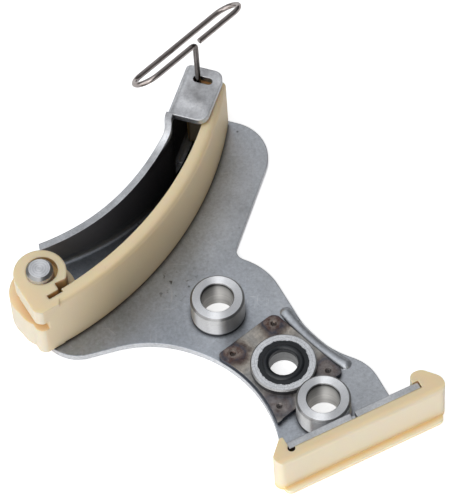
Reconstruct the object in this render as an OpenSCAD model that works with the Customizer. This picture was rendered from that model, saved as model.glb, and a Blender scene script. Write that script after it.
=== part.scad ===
// Timing chain tensioner: a folded steel bracket that carries a sprung nylon blade, a straight
// nylon guide shoe, two bolt sleeves, an oil feed ring with its rubber seal, and a wire lock pin.
// Millimetres. Origin on the axis of the oil feed ring, on the back face of the bracket.
// +Z points out of the back face, +X runs along the straight guide shoe.

/* [Sheet] */
// thickness of the bracket sheet
sheet = 1.9; // [1.6:0.1:2.2]
// inside radius of the folds at the plate
fold_radius = 1.5; // [1:0.1:2]

/* [Fixing sleeves] */
// bore of both bolt sleeves
bolt_bore = 8.5; // [8.3:0.1:9]
// outside diameter of both bolt sleeves
sleeve_d = 14.2; // [13.4:0.1:15]
// height of the sleeve tops above the back face
sleeve_top = 9.5; // [8:0.1:11]
// outer chamfer of the sleeve tops
sleeve_chamfer = 0.55; // [0.3:0.05:0.9]
// diameter of the spigot that each turned piece has through the sheet
spigot_d = 11; // [10.6:0.1:11.6]
// place of the upper sleeve along X
upper_x = -7.2; // [-8:0.1:-6.5]
// place of the upper sleeve along Y
upper_y = 23.2; // [22.5:0.1:24]
// place of the lower sleeve along X
lower_x = 3; // [2.5:0.1:3.5]
// place of the lower sleeve along Y
lower_y = -16.5; // [-17:0.1:-16.3]

/* [Oil feed] */
// bore of the feed ring and its seal
feed_bore = 7.6; // [7:0.1:8]
// outside diameter of the feed ring
ring_d = 17.3; // [16.5:0.1:17.6]
// height of the ring top above the square plate
ring_height = 1.9; // [1.7:0.1:2.4]
// outside diameter of the rubber seal
seal_d = 12.9; // [12.4:0.1:13.4]
// depth of the seat that holds the seal
seal_depth = 1.3; // [1:0.1:1.5]
// how far the seal lip stands above the ring
seal_lip = 0.45; // [0.3:0.05:0.6]
// thickness of the square plate
weld_plate_t = 1.5; // [1:0.1:1.8]
// diameter of each spot weld dimple
weld_spot_d = 1.7; // [1.2:0.1:2.2]

/* [Curved flange] */
// radius of the middle of the curved flange wall
flange_radius = 56.4; // [56:0.1:57]
// how far round its centre the flange reaches
flange_span = 43.6; // [42:0.2:44.6]
// flange height at its low end
flange_low = 10.3; // [9:0.1:11.5]
// flange height at the middle of its length
flange_mid = 14.7; // [13.5:0.1:15.5]
// plan radius of the joggle beside the tab
joggle_radius = 6; // [5.6:0.1:7]

/* [Bead] */
// height of the stiffening bead above the sheet
bead_height = 0.8; // [0.4:0.05:0.9]
// width of the stiffening bead
bead_width = 3.3; // [2.4:0.1:3.3]

/* [Tab] */
// height of the tab top above the back face
tab_top = 24.2; // [23.8:0.1:26]
// length of the tab along its fold
tab_length = 16.5; // [16:0.1:17.5]
// reach of the tab over the blade
tab_reach = 11; // [10.4:0.1:12]
// inside radius of the fold of the tab
tab_fold = 0.5; // [0.3:0.1:1.5]
// corner radius of the tab
tab_corner = 2.8; // [1.5:0.1:3.5]
// length of the slot in the tab
slot_length = 5.3; // [4.6:0.1:5.6]

/* [Guide flange and shoe] */
// height of the guide flange above the back face
guide_height = 13.1; // [12:0.1:13.3]
// left end of the guide flange along X
guide_left = -12.2; // [-12.6:0.1:-12]
// right end of the guide flange along X
guide_right = 25.2; // [24.6:0.1:26]
// front face of the guide flange, distance from the origin along -Y
guide_front = 27.4; // [27.2:0.1:28]
// width of the narrow notch in the guide flange
guide_notch_w = 1.3; // [0.8:0.1:2]
// depth of the narrow notch in the guide flange
guide_notch_d = 2; // [1:0.1:3]
// height of the shoe
shoe_height = 13.7; // [13.5:0.1:14.5]
// thickness of the shoe in front of the flange
shoe_wall = 3.4; // [2.8:0.1:4]
// reach of the thin lip along the foot of the shoe
shoe_lip = 1.9; // [1:0.1:2.4]
// thickness of that lip
shoe_lip_t = 1.3; // [0.9:0.1:2]
// gap between shoe and flange on each face
shoe_gap = 0.12; // [0.04:0.02:0.15]

/* [Blade] */
// radius of the running face of the blade
blade_radius = 94.9; // [94.6:0.1:95.2]
// thickness of the blade
blade_t = 3.6; // [3.3:0.1:3.9]
// height of the blade
blade_height = 19.3; // [18:0.1:19.4]
// gap between blade and plate
blade_lift = 0.3; // [0.2:0.05:0.5]
// radius of the upper outer edge of the blade
blade_edge = 2; // [1:0.1:2.4]

/* [Pivot] */
// diameter of the pivot pin
pin_d = 7; // [6.6:0.1:7.4]
// height of the pin top above the blade top
pin_proud = 2; // [1:0.1:3]
// running gap between pin and eye, on the radius
pin_gap = 0.05; // [0.02:0.01:0.09]
// radius of the upper eye boss
boss_r = 6.9; // [6.6:0.1:7.1]
// radius of the lower eye flange
foot_r = 8.8; // [8.4:0.1:9.2]

/* [Leaf spring] */
// thickness of the leaf spring
spring_t = 0.8; // [0.5:0.05:1]
// width of the leaf spring
spring_w = 12; // [10:0.5:13]

/* [Lock pin] */
// diameter of the wire
wire_d = 1.5; // [1.3:0.05:1.6]
// height of the bend of the wire above the tab
wire_rise = 15.5; // [13:0.5:18]
// half length of the straight sides of the pull loop
loop_half = 14.1; // [12:0.1:16]
// radius of the loop turns
loop_r = 4.5; // [3.6:0.1:5.5]
// heading of the loop in plan
loop_heading = 19.9; // [10:0.1:30]
// lean of the loop plane about its length
loop_lean = -43; // [-60:1:-30]
// rise of the loop along its length
loop_pitch = -4; // [-8:0.5:0]

/* [Hidden] */
$fn = 96;
fold_out = fold_radius + sheet;
// centre of the curved flange
flange_c = [-30.1, 114];
flange_start = -101.5;
flange_end = flange_start + flange_span;
// the joggle turns one way, then back to the heading of the straight wall
wall_heading = 45;
joggle_in = 37;
joggle_back = flange_end + 90 + joggle_in - wall_heading;
jog_c1 = flange_c + (flange_radius - joggle_radius) * [cos(flange_end), sin(flange_end)];
jog_dir = flange_end + joggle_in;
jog_b = jog_c1 + joggle_radius * [cos(jog_dir), sin(jog_dir)];
jog_r2 = joggle_radius + 1;
jog_c2 = jog_b + jog_r2 * [cos(jog_dir), sin(jog_dir)];
wall_a = jog_c2 + jog_r2 * [cos(wall_heading + 90), sin(wall_heading + 90)];
wall_u = [cos(wall_heading), sin(wall_heading)];
wall_n = [sin(wall_heading), -cos(wall_heading)];
wall_o = wall_a - wall_n * sheet / 2;
// a plan point from distance along the straight wall and distance out from its outer face
function wall_at(w, n) = wall_o + wall_u * w + wall_n * n;
function polar(c, r, a) = c + r * [cos(a), sin(a)];
slot_w = wire_d + 0.65;
slot_along = 12.7;
slot_in = 3.4;
stem_n = slot_in + slot_w / 2 + 0.25;
stem = wall_at(slot_along, stem_n);
upper = [upper_x, upper_y];
lower = [lower_x, lower_y];
upper_edge = 17.6;
pin = [-46.8, 44.7];
plate_pin_r = 6.6;
pin_spigot_d = pin_d - 1.4;
blade_z = sheet + blade_lift;
blade_top = blade_z + blade_height;
blade_in = blade_radius - blade_t;
// the bead is the top of a round bar sunk into the sheet
bead_curve = (pow(bead_width / 2, 2) + pow(bead_height, 2)) / (2 * bead_height);
bead_sink = bead_curve - bead_height;
// the running face goes from a corner beside the pin to a point over the tip's foot
tip_along = 15.6;
tip_out = 11.27;
blade_a = pin + [0.45, -10.845];
blade_b = wall_at(tip_along + 0.08, tip_out);
blade_chord = blade_b - blade_a;
blade_c = (blade_a + blade_b) / 2 + [-blade_chord[1], blade_chord[0]] / norm(blade_chord)
    * sqrt(pow(blade_radius, 2) - pow(norm(blade_chord) / 2, 2));
arc_start = atan2(blade_a[1] - blade_c[1], blade_a[0] - blade_c[0]);
blade_end = atan2(blade_b[1] - blade_c[1], blade_b[0] - blade_c[0]);
end_corner = blade_c + (blade_radius - 0.02) * [cos(arc_start), sin(arc_start)];
spring_z = blade_z + (blade_height - spring_w) / 2;
spring_seat = spring_t + 0.2;
spring_start = arc_start - 0.9;
spring_end = blade_end - 3.6;
slab_z = blade_top - 5.5;
ledge_z = blade_z + 10.4;
feed_top = sheet + weld_plate_t + ring_height;
swing_way = atan2(stem[1] - pin[1], stem[0] - pin[0]) + 90;
wire_bend = 1.7;
wire_turn = 90 + loop_pitch;
wire_tangent = wire_bend * tan(wire_turn / 2);
wire_top = tab_top + wire_rise;

// outline from corners [x, y, radius]: corners with a radius are rounded with true arcs
function pt(p) = [p[0], p[1]];
function unit(v) = v / norm(v);
function turn(a, b, c) = (b[0] - a[0]) * (c[1] - b[1]) - (b[1] - a[1]) * (c[0] - b[0]);
function before(p, i) = p[(i + len(p) - 1) % len(p)];
function after(p, i) = p[(i + 1) % len(p)];
function half_turn(p, i) = abs(asin(min(1, max(-1, turn(pt(before(p, i)), pt(p[i]), pt(after(p, i)))
    / norm(pt(p[i]) - pt(before(p, i))) / norm(pt(after(p, i)) - pt(p[i])))))) / 2;
function reach(p, i) = p[i][2] * tan(half_turn(p, i));
function cut_a(p, i) = pt(p[i]) + unit(pt(before(p, i)) - pt(p[i])) * reach(p, i);
function cut_b(p, i) = pt(p[i]) + unit(pt(after(p, i)) - pt(p[i])) * reach(p, i);
function corner_c(p, i) = pt(p[i]) + unit(cut_a(p, i) + cut_b(p, i) - 2 * pt(p[i]))
    * p[i][2] / cos(half_turn(p, i));
function inward(p, i) = atan2(corner_c(p, i)[1] - p[i][1], corner_c(p, i)[0] - p[i][0]);
function rounded(p, i) = len(p[i]) > 2 && p[i][2] > 0;

function cut_corners(p) = [for (i = [0 : len(p) - 1])
    each rounded(p, i) ? [cut_a(p, i), cut_b(p, i)] : [pt(p[i])]];

// way is 1 for corners listed anticlockwise and -1 for clockwise
module outline(p, way = 1) {
    difference() {
        union() {
            polygon(cut_corners(p));
            for (i = [0 : len(p) - 1])
                if (rounded(p, i) && way * turn(before(p, i), p[i], after(p, i)) > 0) corner_disc(p, i);
        }
        for (i = [0 : len(p) - 1])
            if (rounded(p, i) && way * turn(before(p, i), p[i], after(p, i)) < 0) corner_disc(p, i);
    }
}

module corner_disc(p, i) {
    intersection() {
        translate(corner_c(p, i)) circle(r = p[i][2], $fn = 180);
        polygon([cut_a(p, i), pt(p[i]), cut_b(p, i), corner_c(p, i)]);
    }
}

// block over corners that all point outwards, with round upright edges
module rounded_block(p, height) {
    linear_extrude(height) polygon(cut_corners(p));
    for (i = [0 : len(p) - 1])
        if (rounded(p, i)) translate(corner_c(p, i)) rotate([0, 0, inward(p, i)])
            cylinder(r = p[i][2] + 0.01, h = height);
}

// quarter of a fold in section, its inside corner towards +x and +y
module fold_section(inside) {
    outside = inside + sheet;
    translate([outside, outside]) difference() {
        intersection() {
            circle(r = outside);
            translate([-outside, -outside]) square(outside);
        }
        circle(r = inside);
    }
}

// section through plate edge, fold and upright wall
module wall_section(height, foot) {
    fold_section(fold_radius);
    translate([0, fold_out]) square([sheet, height - fold_out]);
    translate([fold_out, 0]) square([foot - fold_out, sheet]);
}

// section through plate edge, wall and the tab folded over at the top
module tab_section() {
    tab_out = tab_fold + sheet;
    wall_section(tab_top - tab_out, fold_out + 1);
    translate([0, tab_top]) mirror([0, 1]) fold_section(tab_fold);
    translate([tab_out, tab_top - sheet]) square([tab_reach + 1 - tab_out, sheet]);
}

// flat part of the bracket, its edge hidden inside the fold feet and under the joggled wall
module plate_outline() {
    inset = fold_out + 0.5 - sheet / 2;
    flange_side = concat(
        [for (i = [0 : 10])
            polar(flange_c, flange_radius + inset, flange_start + flange_span * 0.097 * i)],
        [for (a = [1 : 1 : 4]) polar(jog_c1, joggle_radius, flange_end + joggle_in * a / 4)],
        [for (a = [1 : 1 : 3]) polar(jog_c2, jog_r2, jog_dir + 180 - joggle_back * a / 4)],
        [wall_at(0.3, fold_out + 0.5)]);
    lobe = 25.3;
    right_side = [wall_at(tab_length, fold_out + 0.5), concat(wall_at(tab_length, lobe), 11.8),
        [4.2, 37, 3.2], [upper_x + upper_edge, upper_y + upper_edge * tan(21), upper_edge],
        [10.75, 2.7, 27], [20.2, -9.05, 12], [20.2, -guide_front + fold_out + 0.5]];
    left_side = [[guide_left, -guide_front + fold_out + 0.5], [-5.3, 1.1, 35], [-25.4, 24.5, 30],
        [-48.1, 28.9, 10], [pin[0] - 8.46, pin[1] + 3.95, plate_pin_r], [-43.4, 53, 2]];
    outline(concat(flange_side, right_side, left_side), -1);
}

// low stiffening bead between the square plate and the edge, a raised arc with domed ends
module bead() {
    bead_c = [61.5, 19.1];
    bead_r = 53.3;
    bead_start = 184.6;
    bead_span = 23.7;
    intersection() {
        union() {
            translate(bead_c) rotate([0, 0, bead_start]) rotate_extrude(angle = bead_span, $fn = 360)
                translate([bead_r, -bead_sink]) circle(r = bead_curve);
            for (a = [bead_start, bead_start + bead_span])
                translate(concat(polar(bead_c, bead_r, a), -bead_sink)) rotate([90, 0, 0])
                    sphere(r = bead_curve + 0.02);
        }
        translate([-10, -30, -0.3]) cube([50, 60, 3]);
    }
}

// curved flange with its rising upper edge, and the short joggled wall up to the tab
module curved_flange() {
    half = sheet / 2 - 0.02;
    lap = 0.4;
    joggle_foot = 0.3;
    joggle_out = concat(
        [polar(flange_c, flange_radius - half + 0.05, flange_end - lap)],
        [for (i = [0 : 5]) polar(jog_c1, joggle_radius - half, flange_end + joggle_in * i / 5)],
        [for (i = [1 : 5]) polar(jog_c2, jog_r2 + half, jog_dir + 180 - joggle_back * i / 5)]);
    joggle_in_side = concat(
        [wall_at(lap, sheet / 2 - half + 0.05), wall_at(lap, sheet / 2 + half - 0.05)],
        [for (i = [0 : 5]) polar(jog_c2, jog_r2 - half, wall_heading + 90 + joggle_back * i / 5)],
        [for (i = [1 : 5]) polar(jog_c1, joggle_radius + half, jog_dir - joggle_in * i / 5)],
        [polar(flange_c, flange_radius + half - 0.05, flange_end - lap)]);
    intersection() {
        union() {
            translate(flange_c) rotate([0, 0, flange_start])
                rotate_extrude(angle = flange_span, $fn = 360)
                translate([flange_radius - sheet / 2, 0]) wall_section(tab_top, fold_out + 1);
            translate([0, 0, joggle_foot]) linear_extrude(tab_top - joggle_foot)
                polygon(concat(joggle_out, joggle_in_side));
        }
        translate(flange_c) rotate([0, 0, 10]) rotate([90, 0, 0]) linear_extrude(150, center = true)
            outline([[-30, -1], [-30, flange_low - (flange_mid - flange_low) * 0.45, 0],
                [-20.7, flange_low, 0], [5, flange_mid + 1.1, 140], [24.4, tab_top - 0.05, 0],
                [40, tab_top + 6], [40, -1]], -1);
    }
}

// straight wall with the slotted tab folded over the blade's free end
module tab() {
    difference() {
        intersection() {
            translate(wall_at(tab_length + 1, 0)) rotate([0, 0, wall_heading - 90]) rotate([90, 0, 0])
                linear_extrude(tab_length + 2) tab_section();
            rounded_block([wall_at(0, -1), wall_at(tab_length, -1),
                concat(wall_at(tab_length, tab_reach), tab_corner),
                concat(wall_at(0, tab_reach), tab_corner)], tab_top + 1);
        }
        translate([0, 0, tab_top - fold_out]) linear_extrude(fold_out + 1) tab_slot();
    }
}

module tab_slot() {
    translate(wall_at(slot_along, slot_in + slot_w / 2)) circle(d = slot_w);
    translate(wall_at(slot_along, slot_in + slot_length - slot_w / 2)) circle(d = slot_w);
    translate(wall_at(slot_along, slot_in + slot_length / 2)) rotate(wall_heading)
        square([slot_w, slot_length - slot_w], center = true);
}

// upright flange that carries the guide shoe, longer than the plate at its right end
module guide_flange() {
    difference() {
        union() {
            translate([20.2, -guide_front, 0]) rotate([0, 0, 90]) rotate([90, 0, 0]) rotate([0, 180, 0])
                mirror([1, 0, 0]) linear_extrude(20.2 - guide_left)
                wall_section(guide_height, fold_out + 1);
            translate([20, -guide_front, fold_out])
                cube([guide_right - 20, sheet, guide_height - fold_out]);
        }
        translate([5.9, -guide_front - 1, guide_height - guide_notch_d])
            cube([guide_notch_w, sheet + 2, guide_notch_d + 1]);
    }
}

module bracket() {
    color("silver") difference() {
        union() {
            linear_extrude(sheet) plate_outline();
            curved_flange();
            tab();
            guide_flange();
            translate([0, 0, sheet]) bead();
        }
        bead();
        for (p = [upper, lower, [0, 0]])
            translate(concat(p, -1)) cylinder(d = spigot_d, h = sheet + 2);
        translate(concat(pin, -1)) cylinder(d = pin_spigot_d, h = sheet + 2);
    }
}

// stepped pin, its spigot riveted into the plate
module pivot_pin() {
    top = blade_top + pin_proud;
    color("lightsteelblue") translate(pin) rotate_extrude()
        polygon([[0, 0], [pin_spigot_d / 2, 0], [pin_spigot_d / 2, sheet], [pin_d / 2, sheet],
            [pin_d / 2, top - 0.8], [pin_d / 2 - 0.7, top], [0, top]]);
}

// turned sleeve round a fixing bolt
module sleeve(p) {
    inner = bolt_bore / 2;
    outer = sleeve_d / 2;
    color("gainsboro") translate(p) rotate_extrude()
        polygon([[inner, 0], [spigot_d / 2, 0], [spigot_d / 2, sheet], [outer, sheet],
            [outer, sleeve_top - sleeve_chamfer], [outer - sleeve_chamfer, sleeve_top],
            [inner + 0.2, sleeve_top], [inner, sleeve_top - 0.2]]);
}

module upper_sleeve() {
    sleeve(upper);
}

module lower_sleeve() {
    sleeve(lower);
}

// square plate welded on round the oil feed, one side trimmed to the edge of the bracket
module weld_plate() {
    spots = [[3.6, 12.7], [9.5, -6.6], [-6.4, -10], [-9.8, 9.6]];
    corners = [[-13.4, 11.2, 1.2], [5.3, 15.6, 2.2], [12.9, -8.6, 1.5], [-10.2, -14.4, 2]];
    color("dimgray") difference() {
        translate([0, 0, sheet]) intersection() {
            rounded_block(corners, weld_plate_t);
            linear_extrude(weld_plate_t)
                outline([[-9.9, -18, 0], [-5.3, 1.1, 35], [-25.4, 24.5, 0], [20, 24], [20, -18]], -1);
        }
        translate([0, 0, sheet - 1]) cylinder(d = spigot_d, h = weld_plate_t + 2);
        translate(concat(lower, sheet - 1)) cylinder(d = sleeve_d + 0.3, h = weld_plate_t + 2);
        for (s = spots)
            translate(concat(s, sheet + weld_plate_t - 0.35))
                cylinder(d1 = weld_spot_d - 0.7, d2 = weld_spot_d, h = 0.4);
    }
}

// low ring on the square plate, its spigot through plate and sheet
module feed_ring() {
    base = sheet + weld_plate_t;
    color("lightgray") rotate_extrude()
        polygon([[feed_bore / 2, 0], [spigot_d / 2, 0], [spigot_d / 2, base], [ring_d / 2, base],
            [ring_d / 2, feed_top - 0.35], [ring_d / 2 - 0.35, feed_top], [seal_d / 2, feed_top],
            [seal_d / 2, feed_top - seal_depth], [feed_bore / 2, feed_top - seal_depth]]);
}

// moulded rubber seal with a round lip
module feed_seal() {
    lip_at = feed_bore / 2 + seal_lip + 0.45;
    color([0.15, 0.15, 0.16]) translate([0, 0, feed_top - seal_depth]) rotate_extrude() {
        translate([feed_bore / 2, 0]) square([(seal_d - feed_bore) / 2, seal_depth]);
        translate([lip_at, seal_depth - 0.35]) circle(r = 0.35 + seal_lip);
    }
}

// straight shoe clipped over the guide flange
module guide_shoe() {
    face = guide_front + shoe_wall;
    back = guide_front - sheet - shoe_gap;
    slot = guide_front + shoe_gap;
    left = guide_left - 5;
    right = guide_right + 6.1;
    hook = guide_right - 1.4;
    lean = 1.6;
    color("wheat") difference() {
        union() {
            linear_extrude(shoe_height)
                outline([[left, -face, 2.4], [right, -face, 2.4], [right, -27, 3],
                [right - 3.7, -22.7, 3], [hook, -22.7, 2], [hook, -back],
                [guide_right + 0.3, -back], [guide_right + 0.3, -slot],
                [guide_left - 0.1, -slot], [guide_left - 0.1, -23.8, 0.4],
                [guide_left - 1.2, -23.8, 0.4], [left, -27.8, 1]]);
            linear_extrude(shoe_lip_t)
                outline([[left + 1.4, -face - shoe_lip, 1.8], [right - 1.7, -face - shoe_lip, 1.8],
                [right - 1.7, -face + 2], [left + 1.4, -face + 2]]);
        }
        translate([guide_left + 0.4, -slot - 0.1, -1]) cylinder(r = 1, h = shoe_height + 2);
        translate([left - 5, -face, shoe_height]) rotate([90, 0, 90])
            linear_extrude(right - left + 10) difference() {
            translate([-1, -lean]) square([1 + lean, lean + 1]);
            translate([lean, -lean]) circle(r = lean);
        }
    }
}

// section through the blade: running face outwards, its upper outer edge well rounded
module blade_section() {
    outline([[blade_in, blade_z, 0.3], [blade_radius, blade_z, 0.5],
        [blade_radius, blade_top, blade_edge], [blade_in, blade_top, 0.4]]);
}

// plan of the pivot end: round boss, straight left side and a round corner into the running face
module end_plan() {
    difference() {
        translate(pin) circle(r = boss_r);
        end_relief();
    }
    outline([[pin[0] - 5.5, pin[1] + 3], [pin[0] - boss_r, pin[1] - 1.5],
        [pin[0] - 6.3, end_corner[1] - 0.75, 2.6], end_corner,
        [pin[0] + 2, end_corner[1] + 3.4], [pin[0] + 2, pin[1]]], 1);
}

// flat on the boss that leaves a gap between it and the back of the blade
module end_relief() {
    translate([pin[0] + 2, pin[1] - 9.5]) square([10, 4.85]);
}

// plan of the wider flange at the foot of the pivot end
module foot_plan() {
    difference() {
        translate(pin) circle(r = foot_r);
        end_relief();
    }
    outline([[pin[0] - foot_r, pin[1]], [pin[0] - 7.7, pin[1] - 6.5, 6], [pin[0] - 4.6, pin[1] - 10.3],
        [pin[0], pin[1] - 9], [pin[0], pin[1]]], 1);
}

// groove round the left of the pivot end, between its foot flange and its upper slab
module end_groove() {
    translate([0, 0, ledge_z]) linear_extrude(slab_z - ledge_z) difference() {
        translate([pin[0] - 12, end_corner[1] - 3]) square([24, 24]);
        translate(pin) circle(r = pin_d / 2 + 2);
        translate([pin[0] - 3.3, end_corner[1] - 4]) square([20, pin[1] - end_corner[1] + 4]);
    }
}

// thick foot at the free end: it bears on the straight wall and is notched for the lock pin
module tip_plan() {
    foot_in = sheet + 0.35;
    foot_out = tip_out - blade_t / 2 - 0.3;
    outline([concat(wall_at(tip_along - 8.2, foot_in), 1.2), concat(wall_at(tip_along, foot_in), 1.2),
        wall_at(tip_along, foot_out), wall_at(tip_along - 8.2, foot_out + 1.3)], -1);
}

// the blade: arc, pivot eye with a grooved end, foot at the tip, and the spring's channel behind
module tensioner_blade() {
    color("burlywood") difference() {
        union() {
            translate(blade_c) rotate([0, 0, arc_start])
                rotate_extrude(angle = blade_end - arc_start, $fn = 360) blade_section();
            translate([0, 0, blade_z + 0.05]) linear_extrude(blade_height - 0.1) end_plan();
            translate([0, 0, blade_z + 0.1]) linear_extrude(ledge_z - blade_z - 0.1) foot_plan();
            translate([0, 0, blade_z]) linear_extrude(blade_height - 0.3) tip_plan();
        }
        end_groove();
        spring_channel();
        translate(concat(pin, 0)) cylinder(d = pin_d + 2 * pin_gap, h = blade_top + 1);
        translate([pin[0] + 0.7, pin[1] + 0.35, blade_top - 2.4]) cylinder(d = pin_d + 1.3, h = 4);
        lock_notch();
    }
}

// groove that seats the spring along the back of the blade, into the pivot end and the tip
module spring_channel() {
    translate(blade_c) rotate([0, 0, spring_start])
        rotate_extrude(angle = spring_end - spring_start, $fn = 360)
        translate([blade_in - 0.3, spring_z - 0.2]) square([spring_seat + 0.3, spring_w + 0.4]);
    translate(blade_c) rotate([0, 0, spring_start]) rotate_extrude(angle = 2.6, $fn = 360)
        translate([blade_in - 0.3, spring_z]) square([spring_seat + 0.3, blade_top]);
}

// notch open towards the wall, along the way the tip swings, so that the wire can stay behind
module lock_notch() {
    translate(concat(stem, 0)) {
        cylinder(d = slot_w, h = blade_top + 1);
        rotate([0, 0, swing_way]) translate([0, -slot_w / 2, 0]) cube([8, slot_w, blade_top + 1]);
    }
}

// bowed spring strip seated in the back of the blade
module leaf_spring() {
    color("slategray") translate(blade_c) rotate([0, 0, spring_start + 0.15])
        rotate_extrude(angle = spring_end - spring_start - 0.3, $fn = 360)
        translate([blade_in + spring_seat - spring_t, spring_z]) square([spring_t, spring_w]);
}

// bent wire: straight stem through the slot, one bend, and a long pull loop
module lock_pin() {
    reach_l = loop_half - 0.3;
    reach_r = loop_half + 0.3;
    color("gray") {
        translate(concat(stem, sheet + 0.1))
            cylinder(d = wire_d, h = wire_top - wire_tangent - sheet - 0.1);
        translate(concat(stem, wire_top - wire_tangent)) rotate([0, 0, loop_heading + 180])
            translate([wire_bend, 0, 0]) rotate([90, 0, 0]) rotate([0, 0, 180 - wire_turn])
            rotate_extrude(angle = wire_turn) translate([wire_bend, 0]) circle(d = wire_d);
        translate(concat(stem, wire_top)) rotate([0, 0, loop_heading]) rotate([0, -loop_pitch, 0])
            rotate([loop_lean, 0, 0]) {
            translate([-reach_l, 0, 0]) rotate([0, 90, 0])
                cylinder(d = wire_d, h = reach_l - wire_tangent);
            translate([-wire_tangent, 0, 0]) rotate([0, 90, 0]) sphere(d = wire_d + 0.06);
            translate([-reach_l, loop_r, 0]) rotate([0, 0, 90]) rotate_extrude(angle = 180)
                translate([loop_r, 0]) circle(d = wire_d);
            translate([-reach_l, 2 * loop_r, 0]) rotate([0, 90, 0])
                cylinder(d = wire_d, h = reach_l + reach_r);
            translate([reach_r, loop_r, 0]) rotate([0, 0, -90]) rotate_extrude(angle = 180)
                translate([loop_r, 0]) circle(d = wire_d);
            translate([1.5, 0, 0]) rotate([0, 90, 0]) cylinder(d = wire_d, h = reach_r - 1.5);
        }
    }
}

bracket();
pivot_pin();
upper_sleeve();
lower_sleeve();
weld_plate();
feed_ring();
feed_seal();
guide_shoe();
tensioner_blade();
leaf_spring();
lock_pin();
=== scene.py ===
# %% [markdown]
# # A timing chain tensioner, dressed for the camera
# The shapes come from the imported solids: a folded steel bracket, a nylon blade on a pivot pin, a nylon
# guide shoe, two turned sleeves, a sealed feed ring on a heat-tinted plate, and a wire lock pin.
# This lesson adds what a camera sees and a drawing leaves out: light, soft edges, surface and wear.
# Everything is in metres, in the frame of the solids, and one helper turns millimetres into metres.

# %% Load the solids
import math

import bmesh
import bpy
from mathutils import Matrix, Vector, noise


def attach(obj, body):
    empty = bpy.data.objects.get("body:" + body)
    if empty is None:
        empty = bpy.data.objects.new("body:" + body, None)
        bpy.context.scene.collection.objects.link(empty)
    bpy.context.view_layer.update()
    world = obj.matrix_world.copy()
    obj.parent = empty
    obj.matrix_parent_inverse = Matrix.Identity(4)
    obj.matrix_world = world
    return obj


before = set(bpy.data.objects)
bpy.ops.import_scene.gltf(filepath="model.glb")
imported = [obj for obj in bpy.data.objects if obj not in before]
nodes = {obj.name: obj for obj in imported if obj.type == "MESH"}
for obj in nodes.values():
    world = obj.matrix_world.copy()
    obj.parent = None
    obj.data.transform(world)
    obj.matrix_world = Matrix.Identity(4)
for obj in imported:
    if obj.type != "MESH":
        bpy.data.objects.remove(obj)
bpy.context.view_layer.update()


def mm(*v):
    """Millimetres to metres: one number stays a number, several become a vector."""
    return v[0] / 1000 if len(v) == 1 else Vector(v) / 1000


print("loaded", len(nodes), "solids")

# %% [markdown]
# ## Camera
# The photograph looks down on the part from the front left through a long lens, so parallel edges stay
# nearly parallel. The camera is set from three angles: azimuth, elevation and a small roll. It could be
# aimed with a Track To constraint, but a constraint can't hold the roll, so the matrix is written out.

# %% Camera from three angles and a distance
azimuth, elevation, roll = (math.radians(angle) for angle in (-23.226, 57.309, 4.378))
stand_off = mm(941.3)
aim = mm(4.3, 40.5, 0)
back = Vector((math.sin(azimuth) * math.cos(elevation), -math.cos(azimuth) * math.cos(elevation),
               math.sin(elevation)))
right = Vector((math.cos(azimuth), math.sin(azimuth), 0))
up = back.cross(right)
lens = bpy.data.cameras.new("camera")
lens.sensor_width = 36
lens.lens = 256.4
camera = bpy.data.objects.new("camera", lens)
bpy.context.scene.collection.objects.link(camera)
turn = Matrix((math.cos(roll) * right - math.sin(roll) * up,
               math.sin(roll) * right + math.cos(roll) * up, back)).transposed()
camera.matrix_world = Matrix.Translation(aim + back * stand_off) @ turn.to_4x4()
bpy.context.scene.camera = camera
print("camera", [round(x, 4) for x in camera.location])

# %% [markdown]
# ## Node helpers
# A shader tree is easier to read when each node is one line. These helpers add a node, set its inputs
# by name or number, and link any input that is given a socket instead of a value.

# %% Short names for single nodes


def put(tree, kind, inputs=None, **settings):
    """Adds a node, sets its properties, then fills inputs with values or links."""
    n = tree.nodes.new("ShaderNode" + kind)
    for key, value in settings.items():
        setattr(n, key, value)
    for key, value in (inputs or {}).items():
        if isinstance(value, bpy.types.NodeSocket):
            tree.links.new(value, n.inputs[key])
        else:
            n.inputs[key].default_value = value
    return n


def maths(tree, what, a, b=0.0, c=0.0, clamp=False):
    """One Math node; a, b and c are numbers or sockets."""
    return put(tree, "Math", {0: a, 1: b, 2: c}, operation=what, use_clamp=clamp).outputs[0]


def scaled(tree, value, times, plus=0.0):
    """A value times one number plus another."""
    return maths(tree, "MULTIPLY_ADD", value, times, plus)


def product(tree, first, *others):
    """Masks or values multiplied in a row."""
    for other in others:
        first = maths(tree, "MULTIPLY", first, other)
    return first


def vector_maths(tree, what, a, b=(0, 0, 0)):
    """One Vector Math node that gives a vector."""
    return put(tree, "VectorMath", {0: a, 1: b}, operation=what).outputs[0]


def measure(tree, what, a, b=(0, 0, 0)):
    """One Vector Math node that gives a number: DISTANCE, LENGTH or DOT_PRODUCT."""
    return put(tree, "VectorMath", {0: a, 1: b}, operation=what).outputs["Value"]


def split(tree, vector):
    """The x, y and z sockets of a vector."""
    return put(tree, "SeparateXYZ", {0: vector}).outputs


def level(tree, x, y):
    """A vector from x and y alone, so that distances are measured on the plan."""
    return put(tree, "CombineXYZ", {0: x, 1: y}).outputs[0]


def cloudy(tree, spot, scale, detail, roughness=0.5):
    """A noise texture's value."""
    return put(tree, "TexNoise", {"Vector": spot, "Scale": scale, "Detail": detail,
                                  "Roughness": roughness}).outputs[0]


print("node helpers ready")

# %% [markdown]
# Most finishes are made in the same way: a mask from a ramp, then a blend of two colours by that mask.
# Ramps and blends could be set up by hand each time, but as functions they read like a recipe. What
# several finishes share goes into a group, which is made once and placed where it is wanted.

# %% Ramps, blends and groups


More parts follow.
